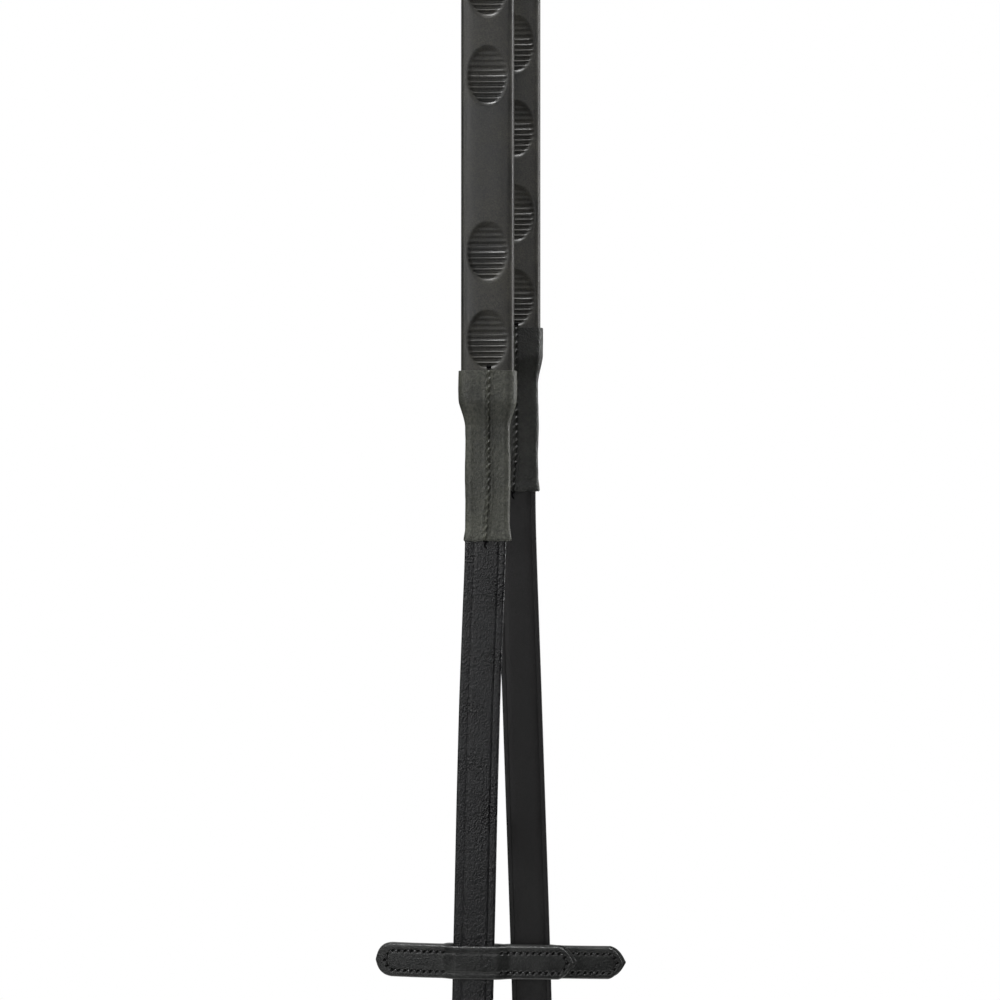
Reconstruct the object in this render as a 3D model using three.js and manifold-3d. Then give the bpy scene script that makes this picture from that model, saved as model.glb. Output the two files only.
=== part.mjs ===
// A pair of leather riding reins with moulded rubber hand grips, hanging by the centre buckle from a hook.
// Millimetres. +Z is up, +X runs across the straps, +Y runs from the left (front) rein to the right (back).
// The origin is the highest point inside the bend, where the strap rests on the hook.
import * as THREE from "three";
import { mergeVertices } from "three/addons/utils/BufferGeometryUtils.js";
import Module from "manifold-3d";

const wasm = await Module();
wasm.setup();

// ---- Driving dimensions ----
const GAP = 0.3; // clearance that touching pieces keep
const STRAP_WIDTH = 16; // 5/8 inch rein leather
const STRAP_THICK = 3.6;
const SKIVED_THICK = 2; // leather pared down where it folds
const BILLET_THICK = 2.6; // the pointed end that goes through the buckle
const HOOK_RADIUS = 19; // inside of the bend over the hook
const REIN_Y = HOOK_RADIUS + STRAP_THICK / 2; // how far each rein hangs from the middle

const GRIP = { width: 20.4, thick: 8, corner: 3, length: 635 };
const CORE = { width: 13, thick: 1.6 }; // webbing inside the rubber
const DENT = { width: 16.3, length: 23.7, depth: 1, pitch: 34.1, first: 11.6 }; // thumb dents
const DENT_FLOOR = 0.72; // size of a dent's floor against its rim
const SLEEVE = { length: 66, mouthWidth: 18.6, neckWidth: 17.7, wideWidth: 22.6, flare: 4, corner: 1.6 };
const SLEEVE_WALL = 1.4;
const SLEEVE_WIDE = 11; // length of the part drawn over the rubber
const SLEEVE_NECK = 21; // where the narrow part begins inside
const SLEEVE_NECK_OUTSIDE = SLEEVE_NECK + 3; // the wall thickens where it steps down
const SLACK = 0.2; // how much looser the leather is at its two ends
const GRIP_IN_SLEEVE = 12; // length of rubber held in each sleeve
const LAP = { from: 18, to: 36 }; // where strap and webbing lie on each other, from the sleeve's wide end
const SEAM = { slit: 1.4, slitDepth: 10, slitY: -6.2, thread: 0.8, sunk: 0.75 };

const BUCKLE = { barZ: -80, height: 21, halfWidth: 10.3, wire: 1.6, corner: 3 };
const FOLD_RADIUS = BUCKLE.wire + GAP + SKIVED_THICK / 2; // middle of the leather round the bar
const BUCKLE_Y = -REIN_Y - STRAP_THICK / 2 + BUCKLE.wire + GAP + SKIVED_THICK;
const BAR_FOLD = { thins: 16, thin: 7, leaves: 4, closes: 13.5 }; // where the fold changes, above the bar
const BAR_SLOT = { depth: 12, height: 13, rise: 1.5 }; // the opening in the fold that the tongue turns in
const TURN_BACK_END = -55; // top of the leather turned back behind the buckle
const BILLET_TIP = -27;
const BILLET_HOLE = { radius: 2, depth: 40, z: [-36.7, -54.7, -72.7, -111] };
const TONGUE = { width: 2.6, thick: 1.8, slot: 4.4, swing: 12, room: 0.6 };
const TONGUE_RING = { radius: 2.9, width: 3.6, bore: 1.75 };
// The tongue's side view from ring to tip: [behind its resting line, below the bar, share of its thickness]
const TONGUE_LINE = [
  [0.6, 1.4, 1],
  [0.3, 8, 1],
  [0, 21, 1],
  [0.2, 24.2, 0.6],
];
const BILLET_POINT = 9; // length of the pointed end's shaped part
const KEEPER = { wall: 1.6, height: 7 };
const FIXED_KEEPER_Z = -61.5;
const RUNNER_Z = -44.5;

const STOP = { length: 78, height: 12.8, layer: 2.2, shoulder: 6.4, threadInset: 2.7 };
const STOP_TIP = { bulge: 2.6, lift: 1, threadBulge: 1.6, threadLift: 0.3, narrowing: 1.25 };
const STOP_BOW = { clear: 1.4, slope: 3.4 }; // room beside the strap, and the run down to the wing
const STOP_THREAD = { width: 0.7, groove: 1.3, depth: 0.8, proud: 0.15, start: 11.5 };

const LOOP = { radius: 7, flat: 3, leather: 2.6, rise: 34 }; // the fold that holds the bit ring
const BILLET_END = 96; // height of the turned-back end above the bottom of the fold
const TURNED_POINT = 8; // length of its pointed part
const LINING = { thick: 1.5, from: 40, to: 90, narrower: 0.4 };
const STUD = { height: 58, stem: 1.5, head: 3.3, base: 4, baseThick: 0.9, slitLength: 14 };
const STUD_HEAD = { underside: [0.6, 0.2], rim: [0, 1.1], top: [1, 2.2], crown: 2.6 }; // [inward, up]
const CHEEK_KEEPERS = { lower_keeper: 43, upper_keeper: 74 };

// z of each feature on the two reins; the cheek straps lean a little, and each stop sits a little askew on its
// strap (degrees)
const REINS = {
  left: { side: -1, x: -5.4, swingZ: -122, grip: -851, bottom: -1330, stopZ: -1080, lean: 1.66, askew: -0.8 },
  right: { side: 1, x: 5.4, swingZ: -62, grip: -831.6, bottom: -1316, stopZ: -1087.5, lean: -1.86, askew: 2.8 },
};
const SWING_GAP = STRAP_THICK / 2 + GAP; // from a swing line to the flat end above it
const CHEEK_BELOW_SLEEVE = 8; // from the sleeve's mouth to the line the cheek strap swings about
const DEEP = 60; // enough for a cutter to reach through any strap
const ROUND_STEPS = 6;
const PLAIN_DENT = 2; // the left rein's outer face is left blank at this dent, counted from the bit end

// ---- Materials ----
const finishes = {
  leather: { color: 0x2b2b2b, roughness: 0.42, metalness: 0 },
  rubber: { color: 0x3a3a39, roughness: 0.6, metalness: 0 },
  webbing: { color: 0x1e1e1e, roughness: 0.9, metalness: 0 },
  thread: { color: 0x161616, roughness: 0.7, metalness: 0 },
  steel: { color: 0xb9bbbd, roughness: 0.25, metalness: 1 },
};

// ---- Shaping tools ----
function toSolid(geometry) {
  const bare = geometry.clone();
  bare.deleteAttribute("normal");
  bare.deleteAttribute("uv");
  const merged = mergeVertices(bare, 1e-4);
  return new wasm.Manifold(
    new wasm.Mesh({
      numProp: 3,
      vertProperties: merged.attributes.position.array,
      triVerts: new Uint32Array(merged.index.array),
    }),
  );
}

function toGeometry(solid) {
  const mesh = solid.getMesh();
  return new THREE.BufferGeometry()
    .setAttribute("position", new THREE.BufferAttribute(mesh.vertProperties, 3))
    .setIndex(new THREE.BufferAttribute(mesh.triVerts, 1));
}

function cut(geometry, ...tools) {
  return toGeometry(toSolid(geometry).subtract(wasm.Manifold.union(tools.map(toSolid))));
}

function mesh(name, finish, geometry) {
  const made = new THREE.Mesh(geometry, new THREE.MeshStandardMaterial(finishes[finish]));
  made.name = name;
  return made;
}

function block(width, depth, height, x, y, z) {
  return new THREE.BoxGeometry(width, depth, height).translate(x, y, z);
}

// Outlines are drawn flat, then stood up across the strap (facing -Y) or side on (facing +X).
const facingFront = new THREE.Matrix4().makeBasis(
  new THREE.Vector3(1, 0, 0),
  new THREE.Vector3(0, 0, 1),
  new THREE.Vector3(0, -1, 0),
);
const sideOn = new THREE.Matrix4().makeBasis(
  new THREE.Vector3(0, 1, 0),
  new THREE.Vector3(0, 0, 1),
  new THREE.Vector3(1, 0, 0),
);

function extrude(shape, depth, stand) {
  const made = new THREE.ExtrudeGeometry(shape, { depth, bevelEnabled: false, curveSegments: 6 });
  made.translate(0, 0, -depth / 2);
  return stand ? made.applyMatrix4(stand) : made;
}

// The edge-on outline of a strap: stations [across, along, thickness] on its middle line.
function strapOutline(stations, roundStart = false) {
  const near = [];
  const far = [];
  stations.forEach(([a, b, thick], i) => {
    const before = stations[Math.max(i - 1, 0)];
    const after = stations[Math.min(i + 1, stations.length - 1)];
    const along = new THREE.Vector2(after[0] - before[0], after[1] - before[1]).normalize();
    const across = new THREE.Vector2(-along.y, along.x).multiplyScalar(thick / 2);
    near.push(new THREE.Vector2(a, b).add(across));
    far.push(new THREE.Vector2(a, b).sub(across));
  });
  const points = [...near, ...far.reverse()];
  if (roundStart) {
    const [a, b, thick] = stations[0];
    const start = Math.atan2(stations[1][1] - b, stations[1][0] - a) - Math.PI / 2;
    for (let turn = 1; turn < ROUND_STEPS; turn += 1) {
      const angle = start - (turn * Math.PI) / ROUND_STEPS;
      points.push(
        new THREE.Vector2(a + (Math.cos(angle) * thick) / 2, b + (Math.sin(angle) * thick) / 2),
      );
    }
  }
  const clockwise = THREE.ShapeUtils.isClockWise(points);
  return new THREE.Shape(clockwise ? points.reverse() : points);
}

function strap(stations, width = STRAP_WIDTH, roundStart = false) {
  return extrude(strapOutline(stations, roundStart), width, sideOn);
}

function arc(a, b, radius, fromDegrees, toDegrees, thick, steps) {
  return Array.from({ length: steps + 1 }, (_, i) => {
    const angle = THREE.MathUtils.degToRad(fromDegrees + ((toDegrees - fromDegrees) * i) / steps);
    return [a + radius * Math.cos(angle), b + radius * Math.sin(angle), thick];
  });
}

// A closed tube of rounded-rectangle section, from rings [z, half width, half thickness, corner radius].
function flatTube(rings, sides = 20) {
  const profile = [...rings, rings[0]];
  const halfStep = Math.PI / sides;
  const made = new THREE.LatheGeometry(
    profile.map(([z, , , corner]) => new THREE.Vector2(corner, z)),
    sides,
    halfStep,
  );
  const at = made.attributes.position;
  for (let i = 0; i < at.count; i += 1) {
    const [z, halfWidth, halfThick, corner] = profile[i % profile.length];
    const x = at.getX(i) + Math.sign(at.getX(i)) * (halfWidth - corner);
    const y = at.getZ(i) + Math.sign(at.getZ(i)) * (halfThick - corner);
    at.setXYZ(i, x, y, z);
  }
  return made;
}

function facingOut(geometry) {
  const solid = toSolid(geometry);
  if (solid.volume() > 0) return geometry;
  const flipped = geometry.toNonIndexed();
  const at = flipped.attributes.position;
  for (let i = 0; i < at.count; i += 3) {
    const first = [at.getX(i), at.getY(i), at.getZ(i)];
    at.setXYZ(i, at.getX(i + 1), at.getY(i + 1), at.getZ(i + 1));
    at.setXYZ(i + 1, ...first);
  }
  return flipped;
}

// ---- Centre of the reins: bend over the hook, buckle, keepers ----
function centreStrap() {
  const down = [
    [REIN_Y, REINS.right.swingZ + SWING_GAP, STRAP_THICK],
    ...arc(0, -HOOK_RADIUS, REIN_Y, 0, 180, STRAP_THICK, 20),
    [-REIN_Y, BUCKLE.barZ + BAR_FOLD.thins, STRAP_THICK],
    [BUCKLE_Y - FOLD_RADIUS, BUCKLE.barZ + BAR_FOLD.thin, SKIVED_THICK],
    ...arc(BUCKLE_Y, BUCKLE.barZ, FOLD_RADIUS, 180, 360, SKIVED_THICK, 12),
    [BUCKLE_Y + FOLD_RADIUS, BUCKLE.barZ + BAR_FOLD.leaves, SKIVED_THICK],
    [-HOOK_RADIUS + GAP + SKIVED_THICK / 2, BUCKLE.barZ + BAR_FOLD.closes, SKIVED_THICK],
    [-HOOK_RADIUS + GAP + SKIVED_THICK / 2, TURN_BACK_END, SKIVED_THICK],
  ];
  const { depth, height, rise } = BAR_SLOT;
  const slot = block(TONGUE.slot, depth, height, 0, BUCKLE_Y, BUCKLE.barZ + rise);
  return mesh("right_centre_strap", "leather", slantedOverHook(cut(strap(down), slot)));
}

// The strap crosses the hook on a slant, because its two legs hang side by side.
function slantedOverHook(geometry) {
  const at = geometry.attributes.position;
  for (let i = 0; i < at.count; i += 1) {
    const height = Math.max(at.getZ(i) + HOOK_RADIUS, 0);
    const across = at.getY(i) / Math.hypot(at.getY(i), height);
    at.setX(i, at.getX(i) + REINS.right.x * across);
  }
  return geometry;
}

function buckleFrame() {
  const { halfWidth, height, wire, corner, barZ } = BUCKLE;
  const middle = barZ - height / 2;
  const corners = [
    [1, 1, 0],
    [-1, 1, 90],
    [-1, -1, 180],
    [1, -1, 270],
  ].flatMap(([sx, sz, turn]) =>
    arc(sx * (halfWidth - corner), middle + sz * (height / 2 - corner), corner, turn, turn + 90, 0, 4),
  );
  const route = new THREE.CatmullRomCurve3(
    corners.map(([x, z]) => new THREE.Vector3(x, BUCKLE_Y, z)),
    true,
    "catmullrom",
    0,
  );
  const ring = new THREE.TubeGeometry(route, 48, wire, 10, true);
  return mesh("centre_buckle_frame", "steel", facingOut(ring));
}

function tongueBar(extra = 0) {
  const { width, thick } = TONGUE;
  const rest = BUCKLE_Y - BUCKLE.wire - GAP - thick / 2;
  const bar = TONGUE_LINE.map(([forward, below, share]) => [
    rest + forward,
    BUCKLE.barZ - below,
    thick * share + 2 * extra,
  ]);
  return strap(bar, width + 2 * extra);
}

function buckleTongue() {
  const eye = new THREE.Shape().absarc(BUCKLE_Y, BUCKLE.barZ, TONGUE_RING.radius, 0, 2 * Math.PI);
  const ring = extrude(eye, TONGUE_RING.width, sideOn);
  const hole = new THREE.Shape().absarc(BUCKLE_Y, BUCKLE.barZ, TONGUE_RING.bore, 0, 2 * Math.PI);
  const bore = extrude(hole, STRAP_WIDTH, sideOn);
  const body = toSolid(ring).add(toSolid(tongueBar())).subtract(toSolid(bore));
  return mesh("centre_buckle_tongue", "steel", toGeometry(body));
}

// The tongue's path through the leather, for the hole it stands in.
function tonguePath() {
  return [0, 0.5, 1].map((part) => {
    const turned = tongueBar(TONGUE.room);
    turned.translate(0, -BUCKLE_Y, -BUCKLE.barZ);
    turned.rotateX(THREE.MathUtils.degToRad(-part * TONGUE.swing));
    return turned.translate(0, BUCKLE_Y, BUCKLE.barZ);
  });
}

function pointedEnd(width, tipZ, pointHeight, bottomZ) {
  const half = width / 2;
  const outline = new THREE.Shape()
    .moveTo(-half, bottomZ)
    .lineTo(half, bottomZ)
    .lineTo(half, tipZ - pointHeight)
    .quadraticCurveTo(half * 0.8, tipZ - 2, 0, tipZ)
    .quadraticCurveTo(-half * 0.8, tipZ - 2, -half, tipZ - pointHeight);
  return extrude(outline, DEEP, facingFront);
}

function centreBillet() {
  const frontY = -REIN_Y - STRAP_THICK / 2 - GAP - BILLET_THICK / 2;
  const lowBar = BUCKLE.barZ - BUCKLE.height;
  const behindBar = BUCKLE_Y + BUCKLE.wire + GAP + BILLET_THICK / 2 + 0.1;
  const stations = [
    [-REIN_Y, REINS.left.swingZ + SWING_GAP, STRAP_THICK],
    [-REIN_Y, lowBar - 14, STRAP_THICK],
    [-REIN_Y + 1.6, lowBar - 8, 3.2],
    [behindBar - 0.6, lowBar - 2.6, BILLET_THICK],
    [behindBar, lowBar + 0.4, BILLET_THICK],
    [frontY - 1.1, BUCKLE.barZ + 0.5, BILLET_THICK],
    [frontY - 0.4, BUCKLE.barZ + 6, BILLET_THICK],
    [frontY, BUCKLE.barZ + 12, BILLET_THICK],
    [frontY, BILLET_TIP, BILLET_THICK],
  ];
  const { radius, depth } = BILLET_HOLE;
  const holes = BILLET_HOLE.z.map((z) =>
    new THREE.CylinderGeometry(radius, radius, depth, 12).translate(0, -REIN_Y, z),
  );
  const holed = cut(strap(stations), ...holes, ...tonguePath());
  const point = pointedEnd(STRAP_WIDTH, BILLET_TIP, BILLET_POINT, REINS.left.swingZ - 10);
  const inReach = point.translate(0, -REIN_Y, 0);
  return mesh("left_centre_billet", "leather", toGeometry(toSolid(holed).intersect(toSolid(inReach))));
}

// A leather loop round a stack of straps that reaches from nearY to farY.
function keeper(name, nearY, farY, z) {
  const half = STRAP_WIDTH / 2 + GAP;
  const outer = new THREE.Shape()
    .moveTo(-half - KEEPER.wall, nearY - GAP - KEEPER.wall)
    .lineTo(half + KEEPER.wall, nearY - GAP - KEEPER.wall)
    .lineTo(half + KEEPER.wall, farY + GAP + KEEPER.wall)
    .lineTo(-half - KEEPER.wall, farY + GAP + KEEPER.wall);
  outer.holes.push(
    new THREE.Path()
      .moveTo(-half, nearY - GAP)
      .lineTo(half, nearY - GAP)
      .lineTo(half, farY + GAP)
      .lineTo(-half, farY + GAP),
  );
  return mesh(name, "leather", extrude(outer, KEEPER.height).translate(0, 0, z));
}

function centrePieces() {
  const billetFront = -REIN_Y - STRAP_THICK / 2 - GAP - BILLET_THICK;
  const frontLeg = new THREE.Group();
  frontLeg.add(
    centreBillet(),
    buckleFrame(),
    buckleTongue(),
    keeper("centre_fixed_keeper", billetFront, -HOOK_RADIUS + GAP + SKIVED_THICK, FIXED_KEEPER_Z),
    keeper("centre_runner", billetFront, -HOOK_RADIUS, RUNNER_Z),
  );
  frontLeg.position.x = REINS.left.x;
  return [centreStrap(), frontLeg];
}

// ---- The hand part: strap, sleeve, grip, sleeve ----
function gripCore(name, topZ, bottomZ) {
  const lapY = (CORE.thick + GAP) / 2;
  const lapStart = LAP.from - GRIP_IN_SLEEVE;
  const lapEnd = LAP.to - GRIP_IN_SLEEVE;
  const stations = [
    [lapY, topZ + lapEnd, CORE.thick],
    [lapY, topZ + lapStart, CORE.thick],
    [0, topZ + 1, CORE.thick],
    [0, bottomZ - 1, CORE.thick],
    [lapY, bottomZ - lapStart, CORE.thick],
    [lapY, bottomZ - lapEnd, CORE.thick],
  ];
  return mesh(name, "webbing", strap(stations, CORE.width));
}

function dent(z, outward) {
  const tool = new THREE.CylinderGeometry(1, DENT_FLOOR, DENT.depth, 12);
  tool.scale(DENT.width / 2, 1, DENT.length / 2);
  tool.rotateX(outward < 0 ? 0 : Math.PI);
  tool.scale(1, -1, 1);
  return facingOut(tool.translate(0, (outward * (GRIP.thick - DENT.depth)) / 2, z));
}

function grip(name, topZ, bottomZ, blankFront) {
  const half = [GRIP.width / 2, GRIP.thick / 2, GRIP.corner];
  const slot = [CORE.width / 2 + GAP, CORE.thick / 2 + GAP, 0.5];
  const body = flatTube([
    [topZ, ...half],
    [topZ, ...slot],
    [bottomZ, ...slot],
    [bottomZ, ...half],
  ]);
  const count = Math.floor((GRIP.length - 2 * DENT.first) / DENT.pitch) + 1;
  const dents = [];
  for (let i = 0; i < count; i += 1) {
    const z = bottomZ + GRIP_IN_SLEEVE + DENT.first + i * DENT.pitch;
    if (!(blankFront && i === PLAIN_DENT)) dents.push(dent(z, -1));
    dents.push(dent(z, 1));
  }
  return mesh(name, "rubber", cut(facingOut(body), ...dents));
}

// A sleeve of thin leather wrapped round the joint, its mouth on the strap; up is 1 when the mouth points up.
function sleeve(name, wideZ, up) {
  const wall = SLEEVE_WALL;
  const inGrip = [GRIP.width / 2 + GAP, GRIP.thick / 2 + GAP, GRIP.corner];
  const inStrap = [STRAP_WIDTH / 2 + GAP, STRAP_THICK / 2 + GAP, 0.8];
  const neck = SLEEVE.neckWidth / 2 + GAP;
  const mouth = SLEEVE.mouthWidth / 2 + GAP;
  const outStrap = STRAP_THICK / 2 + GAP + wall;
  const outGrip = [SLEEVE.wideWidth / 2 + GAP + SLACK, GRIP.thick / 2 + GAP + wall, GRIP.corner + 1];
  const at = (distance) => wideZ + up * distance;
  const rings = [
    [at(0), ...outGrip],
    [at(0), ...inGrip],
    [at(GRIP_IN_SLEEVE + GAP), ...inGrip],
    [at(SLEEVE_NECK), ...inStrap],
    [at(SLEEVE.length), ...inStrap],
    [at(SLEEVE.length), mouth, outStrap + SLACK, SLEEVE.corner],
    [at(SLEEVE.length - SLEEVE.flare), neck, outStrap, SLEEVE.corner],
    [at(SLEEVE_NECK_OUTSIDE), neck, outStrap, SLEEVE.corner],
    [at(SLEEVE_WIDE), ...outGrip],
  ];
  const slit = block(SEAM.slit, SEAM.slitDepth, SLEEVE.length + 2, 0, SEAM.slitY, at(SLEEVE.length / 2));
  return mesh(name, "leather", cut(facingOut(flatTube(rings)), slit));
}

function seamThread(name, wideZ, up) {
  const nearY = -GRIP.thick / 2 - GAP - SLEEVE_WALL * SEAM.sunk;
  const farY = -STRAP_THICK / 2 - GAP - SLEEVE_WALL * SEAM.sunk;
  const at = (distance) => wideZ + up * distance;
  const stations = [
    [nearY, at(1), SEAM.thread],
    [nearY, at(SLEEVE_WIDE), SEAM.thread],
    [farY, at(SLEEVE_NECK_OUTSIDE), SEAM.thread],
    [farY, at(SLEEVE.length - 1), SEAM.thread],
  ];
  return mesh(name, "thread", strap(stations, SEAM.thread));
}

// The end of a strap that lies in a sleeve, lapped on the webbing; it stops flat at flatZ.
function strapInSleeve(name, wideZ, flatZ, up) {
  const lapY = -(CORE.thick + GAP) / 2;
  const at = (distance) => wideZ + up * distance;
  const stations = [
    [0, flatZ, STRAP_THICK],
    [0, at(LAP.to + 3), STRAP_THICK],
    [lapY, at(LAP.to + 1), CORE.thick],
    [lapY, at(LAP.from + 1), CORE.thick],
  ];
  return mesh(name, "leather", strap(stations));
}

function handPart(name, rein) {
  const sleeveTop = rein.grip + GRIP.length;
  const gripTop = sleeveTop + GRIP_IN_SLEEVE;
  const gripBottom = rein.grip - GRIP_IN_SLEEVE;
  const cheekZ = rein.grip - SLEEVE.length - CHEEK_BELOW_SLEEVE;
  const top = strapInSleeve(`${name}_top_strap`, sleeveTop, rein.swingZ, 1);
  const group = new THREE.Group();
  group.add(
    roundedTop(top, rein.swingZ),
    sleeve(`${name}_upper_sleeve`, sleeveTop, 1),
    seamThread(`${name}_upper_seam_thread`, sleeveTop, 1),
    gripCore(`${name}_core_webbing`, gripTop, gripBottom),
    grip(`${name}_grip`, gripTop, gripBottom, rein.side < 0),
    sleeve(`${name}_lower_sleeve`, rein.grip, -1),
    seamThread(`${name}_lower_seam_thread`, rein.grip, -1),
    strapInSleeve(`${name}_cheek_strap_end`, rein.grip, cheekZ + SWING_GAP, -1),
  );
  group.position.set(0, rein.side * REIN_Y, 0);
  return group;
}

// The strap swings about its rounded end.
function roundedTop(piece, z) {
  const end = new THREE.CylinderGeometry(STRAP_THICK / 2, STRAP_THICK / 2, STRAP_WIDTH, 12);
  end.rotateZ(Math.PI / 2).translate(0, 0, z);
  piece.geometry = toGeometry(toSolid(piece.geometry).add(toSolid(end)));
  return piece;
}

// ---- The cheek part: strap folded round the bit ring, hook stud, keepers ----
function cheekStrap(name, length) {
  // The middle of the turned-back end
  const turned = STRAP_THICK / 2 + GAP + LINING.thick + GAP + LOOP.leather / 2;
  const middle = turned / 2;
  const half = LOOP.flat / 2;
  const low = -length + LOOP.leather / 2;
  const stations = [
    [0, 0, STRAP_THICK],
    [0, -length + LOOP.rise + 6, STRAP_THICK],
    [0, -length + LOOP.rise, LOOP.leather],
    [middle - half - LOOP.radius, low + LOOP.radius + 6, LOOP.leather],
    ...arc(middle - half, low + LOOP.radius, LOOP.radius, 180, 270, LOOP.leather, 6),
    ...arc(middle + half, low + LOOP.radius, LOOP.radius, 270, 360, LOOP.leather, 6),
    [middle + half + LOOP.radius, low + LOOP.radius + 6, LOOP.leather],
    [turned, -length + LOOP.rise, LOOP.leather],
    [turned, -length + BILLET_END, LOOP.leather],
  ];
  const studZ = -length + STUD.height;
  const hole = new THREE.CylinderGeometry(STUD.stem + GAP, STUD.stem + GAP, 40, 12);
  const slit = block(1, 4, STUD.slitLength, 0, turned, studZ + STUD.slitLength / 2);
  const holed = cut(strap(stations, STRAP_WIDTH, true), hole.translate(0, 0, studZ), slit);
  // Only the turned-back end is pointed: the strap in front of it and all below its shoulder stay whole.
  const shoulder = -length + BILLET_END - TURNED_POINT;
  const front = turned - LOOP.leather / 2 - GAP / 2;
  const point = pointedEnd(STRAP_WIDTH, -length + BILLET_END, TURNED_POINT, -length);
  const inFront = block(2 * STRAP_WIDTH, DEEP, 2 * length, 0, front - DEEP / 2, -length);
  const below = block(2 * STRAP_WIDTH, DEEP, 2 * BILLET_END, 0, 0, shoulder - BILLET_END);
  const kept = wasm.Manifold.union([point, inFront, below].map(toSolid));
  return mesh(name, "leather", toGeometry(toSolid(holed).intersect(kept)));
}

function billetLining(name, length) {
  const { thick, from, to } = LINING;
  const y = STRAP_THICK / 2 + GAP + thick / 2;
  const panel = block(STRAP_WIDTH - LINING.narrower, thick, to - from, 0, y, -length + (from + to) / 2);
  const hole = new THREE.CylinderGeometry(STUD.stem + GAP, STUD.stem + GAP, 20, 12);
  return mesh(name, "leather", cut(panel, hole.translate(0, 0, -length + STUD.height)));
}

// A riveted stud: a thin base on the grain side, a stem through the leather, a button head.
function hookStud(name, length) {
  const { stem, head, base, baseThick, height } = STUD;
  const grain = STRAP_THICK / 2 + GAP;
  const billet = STRAP_THICK / 2 + GAP + LINING.thick + GAP + LOOP.leather;
  const profile = [
    [0, -grain - baseThick],
    [base, -grain - baseThick],
    [base, -grain],
    [stem, -grain],
    [stem, billet + GAP],
    ...[STUD_HEAD.underside, STUD_HEAD.rim, STUD_HEAD.top].map(([inward, up]) => [
      head - inward,
      billet + GAP + up,
    ]),
    [0, billet + GAP + STUD_HEAD.crown],
  ];
  const turned = new THREE.LatheGeometry(profile.map((p) => new THREE.Vector2(...p)), 16);
  return mesh(name, "steel", turned.translate(0, 0, -length + height));
}

// ---- Rein stop: two shaped layers sewn together on both sides of the strap ----
function stopOutline(inset) {
  const tip = STOP.length / 2 - inset * STOP_TIP.narrowing;
  const shoulder = STOP.length / 2 - STOP.shoulder;
  const half = STOP.height / 2 - inset;
  return [
    [shoulder, -half],
    [tip, 0],
    [shoulder, half],
  ];
}

function stopShape() {
  const [low, tip, high] = stopOutline(0);
  const bulge = tip[0] - STOP_TIP.bulge;
  return new THREE.Shape()
    .moveTo(-low[0], low[1])
    .lineTo(...low)
    .quadraticCurveTo(bulge, low[1] + STOP_TIP.lift, ...tip)
    .quadraticCurveTo(bulge, high[1] - STOP_TIP.lift, ...high)
    .lineTo(-high[0], high[1])
    .quadraticCurveTo(-bulge, high[1] - STOP_TIP.lift, -tip[0], tip[1])
    .quadraticCurveTo(-bulge, low[1] + STOP_TIP.lift, -low[0], low[1]);
}

// One wing's U-shaped row of stitching, as a band of the given width.
function stitchBand(width, wing) {
  const edge = (inset) => {
    const [low, tip, high] = stopOutline(inset);
    const bulge = tip[0] - STOP_TIP.threadBulge;
    const path = new THREE.Path()
      .moveTo(STOP_THREAD.start, low[1])
      .lineTo(...low)
      .quadraticCurveTo(bulge, low[1] + STOP_TIP.threadLift, ...tip)
      .quadraticCurveTo(bulge, high[1] - STOP_TIP.threadLift, ...high)
      .lineTo(STOP_THREAD.start, high[1]);
    return path.getPoints(6);
  };
  const outer = edge(STOP.threadInset - width / 2);
  const inner = edge(STOP.threadInset + width / 2);
  const points = [...outer, ...inner.reverse()].map((p) => new THREE.Vector2(wing * p.x, p.y));
  if (THREE.ShapeUtils.isClockWise(points)) points.reverse();
  return new THREE.Shape(points);
}

function stopLayer(name, face) {
  const wingY = face * (GAP / 2 + STOP.layer / 2);
  const bowY = face * (STRAP_THICK / 2 + GAP + STOP.layer / 2);
  const end = STOP.length / 2 + 1;
  const edge = STRAP_WIDTH / 2 + STOP_BOW.clear;
  const stations = [
    [-end, wingY, STOP.layer],
    [-edge - STOP_BOW.slope, wingY, STOP.layer],
    [-edge, bowY, STOP.layer],
    [edge, bowY, STOP.layer],
    [edge + STOP_BOW.slope, wingY, STOP.layer],
    [end, wingY, STOP.layer],
  ];
  const layer = toSolid(extrude(strapOutline(stations), STOP.height));
  const outline = toSolid(extrude(stopShape(), DEEP, facingFront));
  const outerY = face * (GAP / 2 + STOP.layer);
  const grooves = [-1, 1].map((wing) => {
    const groove = extrude(stitchBand(STOP_THREAD.groove, wing), 2 * STOP_THREAD.depth, facingFront);
    return toSolid(groove.translate(0, outerY, 0));
  });
  const shaped = layer.intersect(outline);
  const made = face < 0 ? shaped.subtract(wasm.Manifold.union(grooves)) : shaped;
  return mesh(name, "leather", toGeometry(made));
}

function stopThread(name, wing) {
  const { width, depth, proud } = STOP_THREAD;
  const thick = depth - GAP + proud;
  const outerY = -GAP / 2 - STOP.layer;
  const made = extrude(stitchBand(width, wing), thick, facingFront);
  return mesh(name, "thread", made.translate(0, outerY - proud + thick / 2, 0));
}

function reinStop(name) {
  const group = new THREE.Group();
  group.add(
    stopLayer(`${name}_stop_front`, -1),
    stopLayer(`${name}_stop_back`, 1),
    stopThread(`${name}_stop_thread_left_wing`, -1),
    stopThread(`${name}_stop_thread_right_wing`, 1),
  );
  return group;
}

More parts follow.
